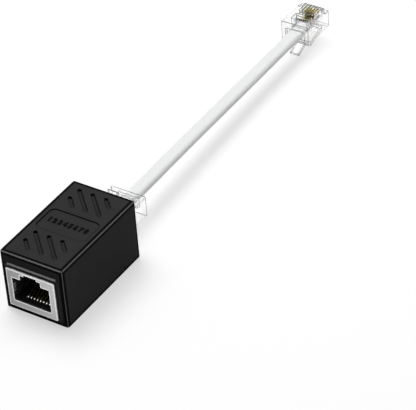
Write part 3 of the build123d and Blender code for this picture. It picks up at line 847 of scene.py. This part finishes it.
class ClearSettings(bpy.types.PropertyGroup):
    colour: colour_setting("Colour", "Tint of the clear plastic", (0.96, 0.965, 0.965))
    # The edge colour and width give painted shade along the plugs' edges
    edge_colour: colour_setting("Edge colour", "Tint along the edges", (0.02, 0.02, 0.021))
    edge_width: number_setting("Edge width", "Width of the darker edges, mm", 0.55)
    body: number_setting("Body", "How much the flat walls bend and tint the light", 0.2)
    ripple: number_setting("Ripple", "Depth of the flow ripples, mm", 0.0004)


class MetalSettings(bpy.types.PropertyGroup):
    nickel: colour_setting("Nickel", "Plating of the shields", (0.28, 0.28, 0.284))
    # Painted light: a lighter right side, and white painted highlights along the shields' edges
    light_nickel: colour_setting("Light nickel", "Shields' lighter side", (0.75, 0.75, 0.755))
    edge_colour: colour_setting("Edge colour", "Edges of the shields", (1.0, 1.0, 1.0))
    gold: colour_setting("Gold", "Plating of the blades", (0.74, 0.63, 0.21))
    # Painted shade: the contacts are a darker copy of the gold, with a painted glint on their bends
    contact_gold: colour_setting("Contact gold", "Plating of the contacts", (0.36, 0.3, 0.11))
    # Painted highlight: the blades' tops are lighter than their sides
    bright_gold: colour_setting("Bright gold", "Tops of the blades", (1.0, 0.95, 0.6))
    bright_bend: colour_setting("Bright bend", "Bends of the contacts", (1.0, 0.985, 0.86))
    # Width of the painted highlight along the shields' edges
    edge_width: number_setting("Edge width", "Width of the shields' bright edges, mm", 0.6)
    nickel_roughness: number_setting("Nickel roughness", "Roughness of the shields", 0.36)
    gold_roughness: number_setting("Gold roughness", "Roughness of contacts and blades", 0.3)


class CordSettings(bpy.types.PropertyGroup):
    colour: colour_setting("Colour", "White of the jacket", (0.885, 0.89, 0.895))
    roughness: number_setting("Roughness", "Roughness of the jacket", 0.4)
    width: number_setting("Width", "Width of the flat jacket, mm", 4.7)
    thickness: number_setting("Thickness", "Thickness of the flat jacket, mm", 2.3)
    line_steps: count_setting("Line steps", "Steps between two route points", 16)
    round_steps: count_setting("Round steps", "Steps round each rounded side", 14)


class WireSettings(bpy.types.PropertyGroup):
    diameter: number_setting("Diameter", "Diameter over the insulation, mm", 0.9)
    bend_radius: number_setting("Bend radius", "Radius where a wire rises to the blades, mm", 1.0)
    first_bend: number_setting("First bend", "Distance from the jacket's end, mm", 1.8)
    last_bend: number_setting("Last bend", "Distance from the jacket's end, mm", 0.5)
    yellow: colour_setting("Yellow", "Insulation colour", (0.8, 0.56, 0.03))
    green: colour_setting("Green", "Insulation colour", (0.03, 0.3, 0.07))
    red: colour_setting("Red", "Insulation colour", (0.55, 0.02, 0.015))
    black: colour_setting("Black", "Insulation colour", (0.015, 0.015, 0.016))


class LabelSettings(bpy.types.PropertyGroup):
    height: number_setting("Height", "Height of the type, mm", 2.6)
    half_row: number_setting("Half row", "Half the length of the row, mm", 6.6)
    word_space: number_setting("Spacing", "Space between two numbers", 1.0)
    relief: number_setting("Relief", "How far the numbers stand up, mm", 0.2)
    bevel: number_setting("Bevel", "Rounding of the numbers' edges, mm", 0.02)
    boldness: number_setting("Boldness", "How much thicker the strokes are, mm", 0.09)
    panel_depth: number_setting("Panel depth", "How far the panel lies below the roof, mm", 0.25)
    # Painted shade: the numbers are a darker copy of the housing's black
    shade: number_setting("Shade", "Share of the housing's lightness", 0.2)


class CameraSettings(bpy.types.PropertyGroup):
    azimuth: number_setting("Azimuth", "Direction of sight round the object, degrees", 34.6476)
    elevation: number_setting("Elevation", "Height above the horizon, degrees", 37.375)
    roll: number_setting("Roll", "Turn about the line of sight, degrees", -4.277)
    distance: number_setting("Distance", "Distance from the coupler, mm", 628.896)
    offset_right: number_setting("Right", "Shift of the camera to the right, mm", 37.3336)
    offset_up: number_setting("Up", "Shift of the camera upwards, mm", 12.7714)
    lens: number_setting("Lens", "Focal length at a 36 mm sensor, mm", 197.07)


class StageSettings(bpy.types.PropertyGroup):
    floor_colour: colour_setting("Floor", "Colour of the floor", (0.5, 0.5, 0.5))
    floor_lift: number_setting("Floor lift", "White added where the floor is seen", 0.55)
    floor_half: number_setting("Floor half", "Half the floor's side", 2.0, unit="LENGTH")
    world_light: number_setting("World light", "Light from the sides and the back", 0.45)
    world_front: number_setting("World front", "Light from the front", 0.05)
    sky_low: number_setting("Sky low", "Height where the seen sky starts to darken", 0.05)
    sky_high: number_setting("Sky high", "Height where the seen sky is darkest", 0.35)
    sky_through: number_setting("Sky through", "Sky overhead, seen through clear plastic", 0.2)
    sky_mirrored: number_setting("Sky mirrored", "Sky overhead, seen in reflections", 0.7)
    key_power: number_setting("Key", "Power of the main lamp, watts", 7.0)
    front_power: number_setting("Front", "Power of the lamp in front, watts", 0.3)
    back_power: number_setting("Back", "Power of the lamp behind, watts", 0.8)


SETTINGS = {
    "adapter_moulding": MouldingSettings,
    "adapter_clear": ClearSettings,
    "adapter_metal": MetalSettings,
    "adapter_cord": CordSettings,
    "adapter_wires": WireSettings,
    "adapter_label": LabelSettings,
    "adapter_camera": CameraSettings,
    "adapter_stage": StageSettings,
}


# Operators
class ADAPTER_OT_housing(bpy.types.Operator):
    """Finishes the coupler's housing, base and board"""
    bl_idname = "adapter.housing"
    bl_label = "Housing"

    def execute(self, context):
        settings = context.scene.adapter_moulding
        moulded_grain_group()
        edge_band_group()
        edge_line_group()
        low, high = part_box("housing_shell")
        rim = Vector((0.0, settings.window_rim * MM, 0.0))
        walls = (low + rim, high - rim)
        dress(["housing_shell"], black_moulding("black_housing", settings, walls))
        dress(["base_plate"], black_moulding("black_base", settings))
        dress(["circuit_board"], solder_mask("board_lacquer"))
        return {"FINISHED"}


class ADAPTER_OT_label(bpy.types.Operator):
    """Raises a row of plain numbers on the label panel"""
    bl_idname = "adapter.label"
    bl_label = "Label numbers"

    def execute(self, context):
        settings = context.scene.adapter_label
        mesh = number_mesh(settings)
        mesh.materials.clear()
        # Painted shade: the numbers get a darker copy of the housing's black
        finish = black_moulding(
            "black_numbers", context.scene.adapter_moulding, shade=settings.shade)
        mesh.materials.append(finish)
        add_piece("contact_numbers", mesh)
        return {"FINISHED"}


class ADAPTER_OT_jacks(bpy.types.Operator):
    """Finishes both jacks: inserts, shields and contacts"""
    bl_idname = "adapter.jacks"
    bl_label = "Jacks"

    def execute(self, context):
        metal = context.scene.adapter_metal
        moulding = context.scene.adapter_moulding
        insert = black_moulding("black_insert", moulding, roughness=moulding.insert_roughness)
        dress(["front_jack_insert", "rear_jack_insert"], insert)

        # Painted highlights along the shields' edges, and a painted lighter right side
        def along_edges(tree):
            return edge_lines(tree, metal.edge_width)

        nickel = plated_metal(
            "nickel_plate", metal.nickel, metal.nickel_roughness, SHIELD_STREAKS,
            [(towards_right, metal.light_nickel), (along_edges, metal.edge_colour)])
        dress(["front_shield", "rear_shield"], nickel)
        # Painted shade: a darker gold for the contacts, and a painted glint on their bends
        gold = plated_metal(
            "gold_contacts", metal.contact_gold, metal.gold_roughness, CONTACT_STREAKS,
            [(at_bend, metal.bright_bend)])
        contacts = [f"{end}_contact_{place}" for end in ("front", "rear") for place in PLACES]
        dress(contacts, gold)
        return {"FINISHED"}


class ADAPTER_OT_plugs(bpy.types.Operator):
    """Finishes both clear plugs and their blades"""
    bl_idname = "adapter.plugs"
    bl_label = "Plugs"

    def execute(self, context):
        clear = clear_moulding("clear_polycarbonate", context.scene.adapter_clear)
        dress(["network_plug_body", "telephone_plug_body"], clear)
        metal = context.scene.adapter_metal
        # Painted highlight: the blades' tops are lighter than their sides
        gold = plated_metal(
            "gold_blades", metal.gold, metal.gold_roughness, CONTACT_STREAKS,
            [(facing_up, metal.bright_gold)])
        dress([name for name in nodes if "_blade_" in name], gold)
        return {"FINISHED"}


class ADAPTER_OT_wires(bpy.types.Operator):
    """Runs the four coloured wires inside each plug"""
    bl_idname = "adapter.wires"
    bl_label = "Wires"

    def execute(self, context):
        settings = context.scene.adapter_wires
        tree = wire_tube_tree()
        for colour in WIRE_COLOURS:
            finish = insulation(f"insulation_{colour}", getattr(settings, colour))
            for plug, jacket_end in PLUG_ENDS.items():
                node = f"{plug}_wire_{colour}"
                points = wire_points(node, jacket_end, settings)
                name = f"{plug}_{colour}_wire_tube"
                piece = add_piece(name, wire_mesh(name, points, tree, finish, settings))
                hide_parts(node)
        return {"FINISHED"}


class ADAPTER_OT_cord(bpy.types.Operator):
    """Lays the flat cord between the two plugs"""
    bl_idname = "adapter.cord"
    bl_label = "Flat cord"

    def execute(self, context):
        settings = context.scene.adapter_cord
        line = cord_line(settings)
        mesh = jacket_mesh(line, jacket_section(settings))
        mesh.materials.append(soft_jacket("white_jacket", settings))
        cord = add_piece("cord_jacket", mesh)
        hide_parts("flat_cord")
        plugs = [name for name in nodes if "_plug_body" in name or "_blade_" in name]
        plugs += [f"{plug}_{colour}_wire_tube" for plug in PLUG_ENDS for colour in WIRE_COLOURS]
        return {"FINISHED"}


class ADAPTER_OT_stage(bpy.types.Operator):
    """Sets up the camera, the lamps, the world and the floor"""
    bl_idname = "adapter.stage"
    bl_label = "Stage"

    def execute(self, context):
        settings = context.scene.adapter_stage
        make_camera(context.scene.adapter_camera)
        for name, (azimuth, elevation, size) in LAMPS.items():
            power = getattr(settings, f"{name}_power")
            make_lamp(f"{name}_lamp", azimuth, elevation, size, power)
        make_world(settings)
        make_floor(settings)
        bpy.context.scene.view_settings.view_transform = "Standard"
        return {"FINISHED"}


OPERATORS = (
    ADAPTER_OT_housing,
    ADAPTER_OT_label,
    ADAPTER_OT_jacks,
    ADAPTER_OT_plugs,
    ADAPTER_OT_wires,
    ADAPTER_OT_cord,
    ADAPTER_OT_stage,
)


class ADAPTER_PT_panel(bpy.types.Panel):
    """Lists the adapter's pieces and their settings"""
    bl_idname = "ADAPTER_PT_panel"
    bl_label = "Adapter"
    bl_space_type = "VIEW_3D"
    bl_region_type = "UI"
    bl_category = "Adapter"

    def draw(self, context):
        for operator in OPERATORS:
            self.layout.operator(operator.bl_idname)
        for name in SETTINGS:
            box = self.layout.box()
            group = getattr(context.scene, name)
            for key in group.__annotations__:
                box.prop(group, key)


def register():
    for group in SETTINGS.values():
        bpy.utils.register_class(group)
    for name, group in SETTINGS.items():
        setattr(bpy.types.Scene, name, bpy.props.PointerProperty(type=group))
    for operator in OPERATORS:
        bpy.utils.register_class(operator)
    bpy.utils.register_class(ADAPTER_PT_panel)


def unregister():
    bpy.utils.unregister_class(ADAPTER_PT_panel)
    for operator in reversed(OPERATORS):
        bpy.utils.unregister_class(operator)
    for name, group in SETTINGS.items():
        delattr(bpy.types.Scene, name)
        bpy.utils.unregister_class(group)


def main():
    register()
    bpy.ops.adapter.housing()
    bpy.ops.adapter.label()
    bpy.ops.adapter.jacks()
    bpy.ops.adapter.plugs()
    bpy.ops.adapter.wires()
    bpy.ops.adapter.cord()
    bpy.ops.adapter.stage()


if __name__ == "__main__":
    main()
